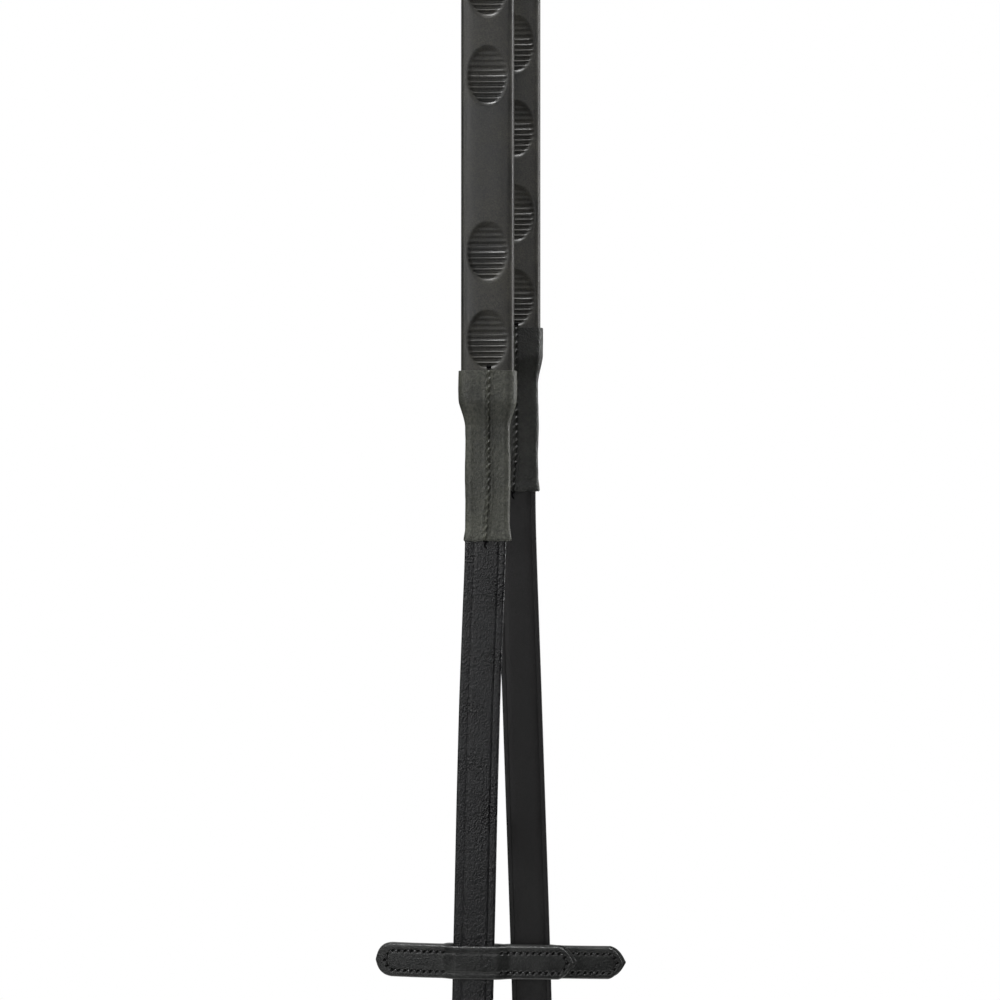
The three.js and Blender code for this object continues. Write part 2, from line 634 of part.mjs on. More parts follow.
function cheekPart(name, rein) {
  const swingZ = rein.grip - SLEEVE.length - CHEEK_BELOW_SLEEVE;
  const lean = THREE.MathUtils.degToRad(rein.lean);
  const length = (swingZ - rein.bottom) / Math.cos(lean);
  const stackFar = STRAP_THICK / 2 + GAP + LINING.thick + GAP + LOOP.leather;
  const billet = new THREE.Group();
  billet.add(
    cheekStrap(`${name}_cheek_strap`, length),
    billetLining(`${name}_billet_lining`, length),
    hookStud(`${name}_hook_stud`, length),
  );
  for (const [piece, height] of Object.entries(CHEEK_KEEPERS)) {
    billet.add(keeper(`${name}_${piece}`, -STRAP_THICK / 2, stackFar, -length + height));
  }
  // The flesh side, with the turned-back end, faces the other rein.
  if (rein.side > 0) billet.rotation.z = Math.PI;
  const stop = reinStop(name);
  stop.position.z = -(swingZ - rein.stopZ) / Math.cos(lean);
  stop.rotation.y = THREE.MathUtils.degToRad(rein.askew);
  const group = new THREE.Group();
  group.add(billet, stop);
  group.position.set(0, rein.side * REIN_Y, swingZ);
  group.rotation.y = lean;
  return group;
}

const reins = new THREE.Group();
reins.add(...centrePieces());
for (const [name, rein] of Object.entries(REINS)) {
  const side = new THREE.Group();
  side.add(handPart(name, rein), cheekPart(name, rein));
  side.position.x = rein.x;
  reins.add(side);
}

export default reins;
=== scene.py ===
import math

import bpy
import numpy as np
from mathutils import Matrix, Vector, noise


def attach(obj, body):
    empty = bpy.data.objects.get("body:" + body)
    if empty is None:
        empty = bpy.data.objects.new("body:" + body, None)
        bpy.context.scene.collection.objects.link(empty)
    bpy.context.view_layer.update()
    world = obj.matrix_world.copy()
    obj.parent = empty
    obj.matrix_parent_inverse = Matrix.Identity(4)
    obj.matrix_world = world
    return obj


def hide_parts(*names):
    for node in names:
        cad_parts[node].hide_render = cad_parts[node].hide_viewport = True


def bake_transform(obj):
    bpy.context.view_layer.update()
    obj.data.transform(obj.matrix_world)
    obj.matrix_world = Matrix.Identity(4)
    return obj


# Leather riding reins with moulded rubber hand grips, hung over a hook by the centre.
# Meshes are in metres, +Z up and +X across; sizes are given in mm.
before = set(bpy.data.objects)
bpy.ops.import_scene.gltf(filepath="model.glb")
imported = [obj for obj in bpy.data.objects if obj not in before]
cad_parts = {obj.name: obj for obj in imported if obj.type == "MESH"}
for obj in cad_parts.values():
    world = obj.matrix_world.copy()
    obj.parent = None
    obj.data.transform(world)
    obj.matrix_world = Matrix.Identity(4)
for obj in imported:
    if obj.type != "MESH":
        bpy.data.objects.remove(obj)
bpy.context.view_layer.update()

# ---- Camera ----
# A studio camera a metre in front of the reins, level.
# It sees the ends of the grips, the sleeves and the stops.
camera = bpy.data.objects.new("camera", bpy.data.cameras.new("camera"))
bpy.context.scene.collection.objects.link(camera)
camera.location = (-0.0006, -1.0208, -0.90105)
camera.rotation_euler = (math.pi / 2, 0, 0)
camera.data.lens = 92.8
camera.data.sensor_width = 36
bpy.context.scene.camera = camera

# ---- Cheek straps ----
# The straps from the lower sleeves down to the bit: 5/8 inch bridle butt, 3.6 mm thick, dyed right through.
# The grain side has a line creased hot along each edge, and the edges are rounded and burnished. Each strap
# is held in its sleeve and hangs a little out of line with the grip.
MM = 0.001
REIN_Y = 20.8  # from the middle of the hook to the middle of each strap
HALF_STRAP = 8.0
STRAP = 3.6  # thickness
STRAP_HELD = 28  # length of strap inside each sleeve
BOW = 0.5  # how far the strap bows out under the sleeve, over this length:
BOW_LENGTH = 20
# Heights are in mm below the hook. lean is each cheek strap's slant and askew its stop's, in degrees.
REINS = {
    "left": {
        "side": -1,
        "x": -5.4,
        "grip": -851,
        "bottom": -1330,
        "stop": -1080,
        "lean": 1.66,
        "askew": -0.8,
    },
    "right": {
        "side": 1,
        "x": 5.4,
        "grip": -831.6,
        "bottom": -1316,
        "stop": -1087.5,
        "lean": -1.86,
        "askew": 2.8,
    },
}
SLEEVE_LENGTH = 66.0
LOOP_SPLIT = 43.0  # height above the bit of the lower keeper, which hides where the fold piece begins


def linear(hex_colour):
    """An sRGB hex colour as linear RGBA."""
    parts = [int(hex_colour[i : i + 2], 16) / 255 for i in (1, 3, 5)]
    return [c / 12.92 if c <= 0.04045 else ((c + 0.055) / 1.055) ** 2.4 for c in parts] + [1.0]


def node(tree, kind, inputs=None, **settings):
    """Adds a node; inputs are values, or sockets to link from."""
    made = tree.nodes.new(kind)
    for name, value in settings.items():
        setattr(made, name, value)
    for name, value in (inputs or {}).items():
        if isinstance(value, bpy.types.NodeSocket):
            tree.links.new(value, made.inputs[name])
        else:
            made.inputs[name].default_value = value
    return made


def ramp(tree, source, stops):
    """A colour ramp from position, colour pairs."""
    made = node(tree, "ShaderNodeValToRGB", {"Fac": source})
    while len(made.color_ramp.elements) < len(stops):
        made.color_ramp.elements.new(0.5)
    for element, (position, colour) in zip(made.color_ramp.elements, stops):
        element.position = position
        element.color = linear(colour)
    return made.outputs["Color"]


def new_material(name):
    """A new material, its node tree and its shader."""
    made = bpy.data.materials.new(name)
    made.use_nodes = True
    return made, made.node_tree, made.node_tree.nodes["Principled BSDF"]


def dyed_leather(name, dark, light, roughness, grain, relief, stretch=1.0):
    """Black dyed cowhide. dark and light are the dye's ends, grain and relief the pores' width and depth."""
    made, tree, bsdf = new_material(name)
    place = node(tree, "ShaderNodeTexCoord").outputs["Object"]
    drawn = node(tree, "ShaderNodeMapping", {"Vector": place, "Scale": (1, 1, 1 / stretch)})
    drawn = drawn.outputs["Vector"]
    pores = node(
        tree, "ShaderNodeTexVoronoi", {"Vector": drawn, "Scale": 1 / (grain * MM)}, distance="EUCLIDEAN"
    )
    fine = node(
        tree, "ShaderNodeTexNoise", {"Vector": drawn, "Scale": 1 / (1.6 * grain * MM), "Detail": 4.0}
    )
    cloudy = node(tree, "ShaderNodeTexNoise", {"Vector": place, "Scale": 1 / (14 * MM), "Detail": 3.0})
    both = node(
        tree, "ShaderNodeMath", {0: fine.outputs["Fac"], 1: cloudy.outputs["Fac"]}, operation="MULTIPLY"
    )
    tone = ramp(tree, both.outputs["Value"], [(0.12, dark), (0.42, light)])
    tree.links.new(tone, bsdf.inputs["Base Color"])
    wax = node(
        tree,
        "ShaderNodeMapRange",
        {
            "Value": cloudy.outputs["Fac"],
            "From Min": 0.3,
            "From Max": 0.7,
            "To Min": roughness - 0.06,
            "To Max": roughness + 0.08,
        },
    )
    tree.links.new(wax.outputs["Result"], bsdf.inputs["Roughness"])
    height = node(
        tree, "ShaderNodeMath", {0: pores.outputs["Distance"], 1: fine.outputs["Fac"]}, operation="ADD"
    )
    bump = node(
        tree,
        "ShaderNodeBump",
        {"Height": height.outputs["Value"], "Strength": 0.6, "Distance": relief * MM},
    )
    tree.links.new(bump.outputs["Normal"], bsdf.inputs["Normal"])
    bsdf.inputs["IOR"].default_value = 1.5
    return made


# Bridle leather, glazed and waxed on the grain side: dark, close-grained, with a soft shine.
grain_leather = dyed_leather("glazed_bridle_leather", "#070709", "#1c1d1f", 0.31, 0.6, 0.26, 1.3)
# The flesh side of the same leather, slicked down flat: matte and even.
flesh_leather = dyed_leather("slicked_flesh_side", "#0b0a0b", "#151415", 0.52, 0.5, 0.06)


def rolled(name, rows, capped=True):
    """A flat grid rolled into a tube. rows[i][j] is point j round the tube at station i, in mm."""
    rows = np.asarray(rows, float)
    count, sides = rows.shape[:2]
    bpy.ops.object.select_all(action="DESELECT")
    bpy.ops.mesh.primitive_grid_add(x_subdivisions=sides, y_subdivisions=count - 1, size=1)
    piece = bpy.context.object
    piece.name = piece.data.name = name
    flat = np.zeros(len(piece.data.vertices) * 3)
    piece.data.vertices.foreach_get("co", flat)
    flat = flat.reshape(-1, 3)
    column = np.rint((flat[:, 0] + 0.5) * sides).astype(int)
    row = np.rint((flat[:, 1] + 0.5) * (count - 1)).astype(int)
    piece.data.vertices.foreach_set("co", (rows[row, column % sides] * MM).ravel())
    middle = rows[count // 2]
    ring = np.vstack([middle, middle[:1]])
    round_it = np.concatenate([[0], np.cumsum(np.linalg.norm(np.diff(ring, axis=0), axis=1))])
    along = np.concatenate([[0], np.cumsum(np.linalg.norm(np.diff(rows[:, 0], axis=0), axis=1))])
    corner = np.zeros(len(piece.data.loops), int)
    piece.data.loops.foreach_get("vertex_index", corner)
    uv = np.stack([round_it[column[corner]], along[row[corner]]], axis=1) * MM
    piece.data.uv_layers[0].data.foreach_set("uv", uv.ravel())
    bpy.ops.object.mode_set(mode="EDIT")
    bpy.ops.mesh.select_all(action="SELECT")
    bpy.ops.mesh.remove_doubles(threshold=1e-7)
    if capped:
        bpy.ops.mesh.select_all(action="DESELECT")
        bpy.ops.mesh.select_mode(type="EDGE")
        bpy.ops.mesh.select_non_manifold(extend=False)
        bpy.ops.mesh.fill_holes(sides=0)
    bpy.ops.mesh.select_all(action="SELECT")
    bpy.ops.mesh.normals_make_consistent(inside=False)
    bpy.ops.object.mode_set(mode="OBJECT")
    bpy.ops.object.shade_smooth_by_angle(angle=math.radians(50))
    return piece


def strap_section(thick, half_width, creases=(-4.3, 5.3)):
    """Outline of a strap, as [across, outwards]: the creased grain side, then the lined flesh side."""
    face = thick / 2
    grain_round = 0.95
    flesh_round = 0.6
    flesh_line = 6.05
    fine = [step + near for near in creases for step in (-0.45, -0.22, 0, 0.22, 0.45)]
    left_part = [-8, -7.92, -7.65, -7.2, -6.6, -5.6, -3.2, -2, -0.7]
    right_part = [0.7, 2, 3.2, 4.2, 6.3, 6.8, 7.2, 7.65, 7.92, 8]
    spread = sorted(left_part + right_part + fine)
    points = []
    for across in spread:
        edge = HALF_STRAP - abs(across)
        drop = 0.8 * (1 - math.sqrt(1 - max(0, 1 - edge / grain_round) ** 2))
        line = sum(0.15 * math.exp(-(((across - c) / 0.24) ** 2)) for c in creases)
        panel = 0.2 * math.cos(across / 5.2) if creases[0] + 0.4 < across < creases[1] - 0.4 else 0
        points.append((across, face - drop - line + panel))
    for across in (
        8, 7.85, 7.45, 6.7, 6.25, 6.05, 5.85, 3, 0, -3, -5.85, -6.05, -6.25, -6.7, -7.45, -7.85, -8
    ):
        edge = HALF_STRAP - abs(across)
        drop = 0.6 * (1 - math.sqrt(1 - max(0, 1 - edge / flesh_round) ** 2))
        line = 0.16 * math.exp(-(((abs(across) - flesh_line) / 0.15) ** 2))
        points.append((across, -face + drop + line))
    return [(across * half_width / HALF_STRAP, out) for across, out in points]


def swept(stations, across=(1, 0, 0), step=1.2, soften=1.8, section=strap_section):
    """Rows of a strap that follows stations [x, y, z, thickness, half width] on its middle line, in mm."""
    stations = np.array(stations, float)
    run = np.concatenate([[0], np.cumsum(np.linalg.norm(np.diff(stations[:, :3], axis=0), axis=1))])
    at = np.linspace(0, run[-1], int(run[-1] / step) + 2)
    line = np.stack([np.interp(at, run, stations[:, k]) for k in range(5)], axis=1)
    reach = max(1, round(soften / step))
    padded = np.pad(line, ((reach, reach), (0, 0)), mode="reflect", reflect_type="odd")
    kernel = np.ones(2 * reach + 1) / (2 * reach + 1)
    line = np.stack([np.convolve(padded[:, k], kernel, "valid") for k in range(5)], axis=1)
    tangent = np.gradient(line[:, :3], axis=0)
    across = np.array(across, float)
    rows = []
    for (x, y, z, thick, half), way in zip(line, tangent):
        outward = np.cross(way, across)
        outward /= np.linalg.norm(outward)
        rows.append(
            [np.array((x, y, z)) + a * across + n * outward for a, n in section(thick, max(half, 0.5))]
        )
    return np.array(rows)


def dress_strap(piece):
    """Grain leather outside, flesh side within, told apart by how far round the strap each face is."""
    flesh_from, flesh_to = 0.53, 0.96
    piece.data.materials.append(grain_leather)
    piece.data.materials.append(flesh_leather)
    uv = piece.data.uv_layers[0].data
    turn = max(corner.uv.x for corner in uv)
    for face in piece.data.polygons:
        middle = sum(uv[i].uv.x for i in face.loop_indices) / face.loop_total
        face.material_index = 1 if flesh_from * turn < middle < flesh_to * turn else 0


def smooth(low, high, value):
    """0 below low, 1 above high, with a soft step between."""
    part = min(max((value - low) / (high - low), 0), 1)
    return part * part * (3 - 2 * part)


def cheek_place(rein):
    """Where a rein's cheek part hangs: its swing line, its lean and which way its grain side faces."""
    swing = Vector((rein["x"], rein["side"] * REIN_Y, cheek_swing(rein)))
    turned = Matrix.Rotation(math.pi, 4, "Z") if rein["side"] > 0 else Matrix.Identity(4)
    return Matrix.Translation(swing) @ Matrix.Rotation(math.radians(rein["lean"]), 4, "Y") @ turned


def cheek_swing(rein):
    """Height of the line where the strap bends under its sleeve."""
    return rein["grip"] - SLEEVE_LENGTH - 8


def cheek_length(rein):
    """Length of a cheek part from its swing line to the bit end."""
    return (cheek_swing(rein) - rein["bottom"]) / math.cos(math.radians(rein["lean"]))


def moved(rows, place):
    """Rows of points moved by a matrix."""
    rows = np.asarray(rows, float)
    turn = np.array(place)[:3]
    return rows @ turn[:, :3].T + turn[:, 3]


# How far each strap's set takes it off its straight line, sideways, at heights below the sleeve's mouth.
SET = {
    "left": ([-30, 0, 24, 62, 100, 140, 172, 300], [-0.5, -0.8, -1.15, -1.5, -1.4, -1.1, -0.9, 0]),
    "right": ([-30, 0, 30, 76, 124, 165, 198, 300], [0.4, 0.4, 0.3, 0.45, 0.5, 0.55, 0.5, 0]),
}
for name, rein in REINS.items():
    mouth = rein["grip"] - SLEEVE_LENGTH
    low = cheek_swing(rein) - cheek_length(rein) * math.cos(math.radians(rein["lean"]))
    lean = math.tan(math.radians(rein["lean"]))
    route = []
    for z in np.arange(mouth + STRAP_HELD, low + LOOP_SPLIT, -4.0):
        below = mouth - z
        line_x = rein["x"] + lean * min(z - cheek_swing(rein), 0)
        bow = BOW * math.sin(math.pi * below / BOW_LENGTH) if 0 < below < BOW_LENGTH else 0
        route.append(
            (line_x + np.interp(below, *SET[name]), rein["side"] * REIN_Y - bow, z, STRAP, HALF_STRAP)
        )
    rows = swept(route, across=(-rein["side"], 0, 0), step=1.6, soften=8)
    cheek = rolled(f"{name}_rein_cheek_strap", rows)
    dress_strap(cheek)
    swing = cheek_swing(rein)
    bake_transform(cheek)
    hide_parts(f"{name}_cheek_strap_end", f"{name}_cheek_strap")

# ---- Bit folds ----
# The lower end of each cheek strap, pared down, folded back round the bit ring and held by its stud and
# keepers. It is one leather length with the strap above; the bit ring sits in the fold.
POINT = 9  # length of a strap end's rounded point


def soft_point(tip, height):
    """Stations [z, half width] of a strap's rounded point, from its shoulder to its tip."""
    return [
        (tip - height * (1 - part), max(HALF_STRAP * (1 - part**2.6) ** 0.62, 0.4))
        for part in (0, 0.25, 0.5, 0.7, 0.85, 0.95, 1)
    ]


for name, rein in REINS.items():
    low = -cheek_length(rein)
    thin = 2.6
    turned_back = 5.2  # middle of the turned-back end, behind the strap
    radius = 7.0
    pared = low + 34  # thin below here
    tip = low + 96
    bottom = low + thin / 2 + radius
    front = turned_back / 2 - 1.5 - radius
    back = turned_back / 2 + 1.5 + radius
    route = [
        (0, low + LOOP_SPLIT + 0.5, STRAP),
        (0, pared + 5, STRAP),
        (0, pared, thin),
        (front, bottom + 6, thin),
    ]
    for centre, angles in ((front + radius, range(180, 271, 15)), (back - radius, range(270, 361, 15))):
        for angle in angles:
            turn = math.radians(angle)
            route.append((centre + radius * math.cos(turn), bottom + radius * math.sin(turn), thin))
    route += [(back, bottom + 6, thin), (turned_back, pared, thin)]
    stations = [(0, y, z, thick, HALF_STRAP) for y, z, thick in route]
    stations += [(0, turned_back, z, thin, half) for z, half in soft_point(tip, POINT)]
    rows = swept(stations, step=0.9)
    fold = rolled(f"{name}_bit_fold", moved(rows, cheek_place(rein)))
    dress_strap(fold)
    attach(fold, f"{name}_cheek")
    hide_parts(f"{name}_cheek_strap")

# ---- Centre: strap over the hook, and the pointed billet ----
# The right rein's strap goes over the hook and is folded round the buckle bar. The left rein's ends in a
# pointed billet with punched holes, which comes up behind the buckle and out over it. Both are the same
# leather as the cheek straps.
BAR_Y = -18.7
BAR_Z = -80.0
HOOK_Z = -19.0  # middle of the round that lies on the hook
FOLDED = 2.0  # thickness of the strap where it is folded round the bar
BAR_FOLD = 2.9  # radius of that fold
BILLET = 2.6  # thickness of the billet, pared to go through the keepers
BILLET_Y = -24.2
BILLET_TIP = -27


def cut_away(piece, name, size, centre, round_hole=False):
    """Punches a hole or a slot through a piece, sized and placed in mm."""
    bpy.ops.object.select_all(action="DESELECT")
    if round_hole:
        bpy.ops.mesh.primitive_cylinder_add(
            vertices=24, radius=size[0] * MM, depth=size[1] * MM, rotation=(math.pi / 2, 0, 0)
        )
    else:
        bpy.ops.mesh.primitive_cube_add(size=1)
        bpy.context.object.scale = [s * MM for s in size]
    punch = bpy.context.object
    punch.location = [c * MM for c in centre]
    cut = piece.modifiers.new(name, "BOOLEAN")
    cut.object = punch
    cut.solver = "EXACT"
    bpy.context.view_layer.objects.active = piece
    bpy.ops.object.modifier_apply(modifier=name)
    bpy.data.objects.remove(punch)


left, right = REINS["left"], REINS["right"]
over = [(right["x"], REIN_Y, z, STRAP, HALF_STRAP) for z in (-158, -120, -90, -60, -40, -22)]
for angle in range(0, 181, 6):
    turn = math.radians(angle)
    place = (right["x"] * math.cos(turn), REIN_Y * math.cos(turn), HOOK_Z + REIN_Y * math.sin(turn))
    over.append((*place, STRAP, HALF_STRAP))
to_bar = ((-REIN_Y, -40, STRAP), (-REIN_Y, -64, STRAP), (-21.6, -73, FOLDED))
over += [(left["x"], y, z, thick, HALF_STRAP) for y, z, thick in to_bar]
for angle in range(180, 361, 15):
    turn = math.radians(angle)
    place = (left["x"], BAR_Y + BAR_FOLD * math.cos(turn), BAR_Z + BAR_FOLD * math.sin(turn))
    over.append((*place, FOLDED, HALF_STRAP))
over += [(left["x"], y, z, FOLDED, HALF_STRAP) for y, z in ((-15.8, -76), (-17.7, -66.5), (-17.7, -55))]
rows = swept(over, step=1.0, soften=1.0)
centre_strap = rolled("right_rein_centre_strap", rows)
dress_strap(centre_strap)
cut_away(centre_strap, "tongue_slot", (4.4, 12, 13), (left["x"], BAR_Y, BAR_Z + 1.5))
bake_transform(centre_strap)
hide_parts("right_centre_strap", "right_top_strap")

stations = [(left["x"], BILLET_Y, z, BILLET, half) for z, half in reversed(soft_point(BILLET_TIP, POINT))]
down = (
    (BILLET_Y, -50, BILLET), (BILLET_Y, -68, BILLET), (-24.6, -74, BILLET), (-25.3, -79.5, BILLET),
    (-15.4, -100.6, BILLET), (-16.0, -103.6, BILLET), (-19.2, -109, 3.2), (-REIN_Y, -115, STRAP),
    (-REIN_Y, -140, STRAP), (-REIN_Y, -177, STRAP),
)
stations += [(left["x"], y, z, thick, HALF_STRAP) for y, z, thick in down]
rows = swept(stations, step=1.0, soften=1.0)
billet = rolled("left_rein_pointed_billet", rows)
dress_strap(billet)
for z in (-36.7, -54.7, -72.7, -111):
    cut_away(billet, "hole", (2.0, 30), (left["x"], -REIN_Y, z), round_hole=True)
cut_away(billet, "tongue_way", (4.2, 13, 14), (left["x"], -21.5, -88.5))  # long, so that the tongue can turn
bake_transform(billet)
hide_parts("left_centre_billet", "left_top_strap")

# ---- Buckle and tongue ----
# A bent wire buckle and its flat tongue, curled round the bar. Steel, nickel plated: bright, faintly warm.
nickel, tree, bsdf = new_material("nickel_plated_steel")
place = node(tree, "ShaderNodeTexCoord").outputs["Object"]
scuffs = node(tree, "ShaderNodeTexNoise", {"Vector": place, "Scale": 1 / (0.8 * MM), "Detail": 5.0})
haze = node(tree, "ShaderNodeMapRange", {"Value": scuffs.outputs["Fac"], "To Min": 0.14, "To Max": 0.34})
tree.links.new(haze.outputs["Result"], bsdf.inputs["Roughness"])
tree.links.new(
    ramp(tree, scuffs.outputs["Fac"], [(0.3, "#bdb9b0"), (0.7, "#d6d2c9")]), bsdf.inputs["Base Color"]
)
bsdf.inputs["Metallic"].default_value = 1.0


def rounded_box(corner_x, corner_z, radius, angle):
    """Point at an angle on a rounded rectangle, and the way out from it."""
    way = Vector((math.cos(angle), math.sin(angle)))
    return Vector((math.copysign(corner_x, way.x), math.copysign(corner_z, way.y))) + way * radius, way


THIN_RING = 0.2
bpy.ops.object.select_all(action="DESELECT")
bpy.ops.mesh.primitive_torus_add(
    major_segments=96, minor_segments=20, major_radius=1, minor_radius=THIN_RING
)
buckle = bpy.context.object
buckle.name = buckle.data.name = "centre_buckle_wire"
wire = 1.6  # radius of the wire
frame_middle = BAR_Z - 10.5
for v in buckle.data.vertices:
    angle = math.atan2(v.co.y, v.co.x) + 1e-6
    ring = (math.hypot(v.co.x, v.co.y) - 1) / THIN_RING
    point, way = rounded_box(7.3, 7.5, 3.0, angle)
    point += way * ring * wire
    v.co = Vector((left["x"] + point.x, BAR_Y + v.co.z / THIN_RING * wire, frame_middle + point.y)) * MM
bpy.ops.object.mode_set(mode="EDIT")
bpy.ops.mesh.select_all(action="SELECT")
bpy.ops.mesh.normals_make_consistent(inside=False)
bpy.ops.object.mode_set(mode="OBJECT")
bpy.ops.object.shade_smooth()
buckle.data.materials.append(nickel)
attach(buckle, "centre")
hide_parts("centre_buckle_frame")


def flat_bar_section(thick, half_width):
    """A flat bar with rounded edges."""
    points = []
    for angle in np.radians(np.arange(0, 360, 20) + 5):
        across, out = math.cos(angle), math.sin(angle)
        squared = abs(across) ** 0.6, abs(out) ** 0.6
        points.append(
            (half_width * math.copysign(squared[0], across), thick / 2 * math.copysign(squared[1], out))
        )
    return points


eye = 2.33  # radius of the tongue's curled end
round_bar = [
    (BAR_Y + eye * math.cos(a), BAR_Z + eye * math.sin(a), 1.1, 1.75)
    for a in np.radians(np.arange(-60, 180, 15))
]
arm = [
    (-21.2, -82.4, 1.3, 1.6),
    (-20.9, -86, 1.6, 1.35),
    (-21.2, -94, 1.7, 1.3),
    (-21.5, -101, 1.7, 1.3),
    (-21.3, -104.2, 1.1, 1.0),
]
stations = [(left["x"], y, z, thick, half) for y, z, thick, half in round_bar + arm]
rows = swept(stations, step=0.5, soften=0.7, section=flat_bar_section)
tongue = rolled("centre_tongue_bar", rows)
tongue.data.materials.append(nickel)
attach(tongue, "buckle_tongue")
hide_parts("centre_buckle_tongue")

# ---- Keepers ----
# Loops of thin strap leather closed round the straps, 7 mm wide, edges rounded and burnished. One is fixed at
# the buckle, one slides on the billet, and two on each cheek strap hold the turned-back end.
KEEPER_INSIDE = 16.6  # just wider than the strap
KEEPER_HEIGHT = 7.0
UPPER_KEEPER = 74  # height above the bit end; the lower keeper is at LOOP_SPLIT
keeper_leather = dyed_leather("burnished_keeper_leather", "#17181a", "#2c2d2e", 0.34, 0.6, 0.04)


def keeper(name, node_name, near, far, centre, body, place=None):
    """A leather loop whose inside reaches from near to far; centre is its x and z."""
    wall = 1.6
    x, z = centre
    bpy.ops.object.select_all(action="DESELECT")
    bpy.ops.mesh.primitive_cube_add(size=1)
    made = bpy.context.object
    made.name = made.data.name = name
    made.data.transform(Matrix.Diagonal((KEEPER_INSIDE, far - near, KEEPER_HEIGHT, 1)))
    made.data.transform(Matrix.Translation((x, (near + far) / 2, z)))
    bpy.ops.object.mode_set(mode="EDIT")
    bpy.ops.mesh.select_mode(type="FACE")
    bpy.ops.mesh.select_all(action="DESELECT")
    bpy.ops.object.mode_set(mode="OBJECT")
    for face in made.data.polygons:
        face.select = abs(face.normal.z) > 0.5
    bpy.ops.object.mode_set(mode="EDIT")
    bpy.ops.mesh.delete(type="FACE")
    bpy.ops.mesh.select_mode(type="EDGE")
    bpy.ops.mesh.select_all(action="DESELECT")
    bpy.ops.object.mode_set(mode="OBJECT")
    for edge in made.data.edges:
        a, b = (made.data.vertices[i].co for i in edge.vertices)
        edge.select = abs(a.z - b.z) > 1
    bpy.ops.object.mode_set(mode="EDIT")
    bpy.ops.mesh.bevel(offset=0.9, segments=4)
    bpy.ops.mesh.select_all(action="SELECT")
    bpy.ops.mesh.normals_make_consistent(inside=False)
    bpy.ops.object.mode_set(mode="OBJECT")
    walls = made.modifiers.new("wall", "SOLIDIFY")
    walls.thickness = wall
    walls.offset = 1
    edges = made.modifiers.new("edges", "BEVEL")
    edges.width = 0.5
    edges.segments = 3
    edges.limit_method = "ANGLE"
    edges.angle_limit = math.radians(50)
    for modifier in ("wall", "edges"):
        bpy.ops.object.modifier_apply(modifier=modifier)
    made.data.transform(Matrix.Diagonal((MM, MM, MM, 1)))
    if place:
        made.data.transform(place)
    bpy.ops.object.shade_smooth_by_angle(angle=math.radians(35))
    made.data.materials.append(keeper_leather)
    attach(made, body)
    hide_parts(node_name)
    return made


def in_metres(matrix):
    """A placing matrix in mm, for a mesh in metres."""
    scaled = matrix.copy()
    scaled.translation *= MM
    return scaled


keeper("centre_keeper_loop", "centre_fixed_keeper", -25.8, -16.4, (left["x"], -61.5), "centre")
keeper("centre_runner_loop", "centre_runner", -25.8, -18.7, (left["x"], -44.5), "runner")
for name, rein in REINS.items():
    for which, height in (("lower", LOOP_SPLIT), ("upper", UPPER_KEEPER)):
        keeper(
            f"{name}_{which}_keeper_loop",
            f"{name}_{which}_keeper",
            -2.1,
            6.8,
            (0, height - cheek_length(rein)),
            f"{name}_cheek",
            in_metres(cheek_place(rein)),
        )

# ---- Hook studs and linings ----
# Each cheek strap has a riveted stud that the turned-back end hooks on, and a thin lining behind it. Studs
# are turned steel, nickel plated, with a domed head; linings are split leather.
STUD_HEIGHT = 58  # above the bit end
LINING_HEIGHT = 65
base = [(4.0, -3.0), (4.0, -2.2), (3.7, -2.1), (1.5, -2.1)]
head = [(1.5, 6.6), (2.7, 6.8), (3.3, 7.5), (3.2, 8.1), (2.6, 8.7), (1.4, 9.05), (0.3, 9.1)]
profile = base + head  # radius and height
for name, rein in REINS.items():
    bottom = -cheek_length(rein)
    bpy.ops.object.select_all(action="DESELECT")
    bpy.ops.mesh.primitive_circle_add(vertices=40, radius=profile[0][0], fill_type="NGON")
    stud = bpy.context.object
    stud.name = stud.data.name = f"{name}_turned_stud"
    bpy.ops.object.mode_set(mode="EDIT")
    bpy.ops.mesh.select_all(action="SELECT")
    for (radius, height), (next_radius, next_height) in zip(profile, profile[1:]):
        bpy.ops.mesh.extrude_region_move(TRANSFORM_OT_translate={"value": (0, 0, next_height - height)})
        grow = next_radius / radius
        bpy.ops.transform.resize(value=(grow, grow, 1))
    bpy.ops.mesh.select_all(action="SELECT")
    bpy.ops.mesh.normals_make_consistent(inside=False)
    bpy.ops.object.mode_set(mode="OBJECT")
    backwards = Matrix.Rotation(-math.pi / 2, 4, "X")
    stand = Matrix.Translation((0, profile[0][1], bottom + STUD_HEIGHT)) @ backwards
    stud.data.transform(in_metres(cheek_place(rein) @ stand) @ Matrix.Diagonal((MM, MM, MM, 1)))
    bpy.ops.object.shade_smooth_by_angle(angle=math.radians(35))
    stud.data.materials.append(nickel)
    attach(stud, f"{name}_cheek")
    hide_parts(f"{name}_hook_stud")

    bpy.ops.object.select_all(action="DESELECT")
    bpy.ops.mesh.primitive_cube_add(size=1)
    lining = bpy.context.object
    lining.name = lining.data.name = f"{name}_split_lining"
    lining.data.transform(
        Matrix.Translation((0, 2.85, bottom + LINING_HEIGHT)) @ Matrix.Diagonal((15.6, 1.5, 50, 1))
    )
    bpy.ops.object.mode_set(mode="EDIT")
    bpy.ops.mesh.select_all(action="SELECT")
    bpy.ops.mesh.bevel(offset=0.45, segments=3)
    bpy.ops.object.mode_set(mode="OBJECT")
    lining.data.transform(in_metres(cheek_place(rein)) @ Matrix.Diagonal((MM, MM, MM, 1)))
    bpy.ops.object.shade_smooth_by_angle(angle=math.radians(35))
    lining.data.materials.append(flesh_leather)
    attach(lining, f"{name}_cheek")
    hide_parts(f"{name}_billet_lining")

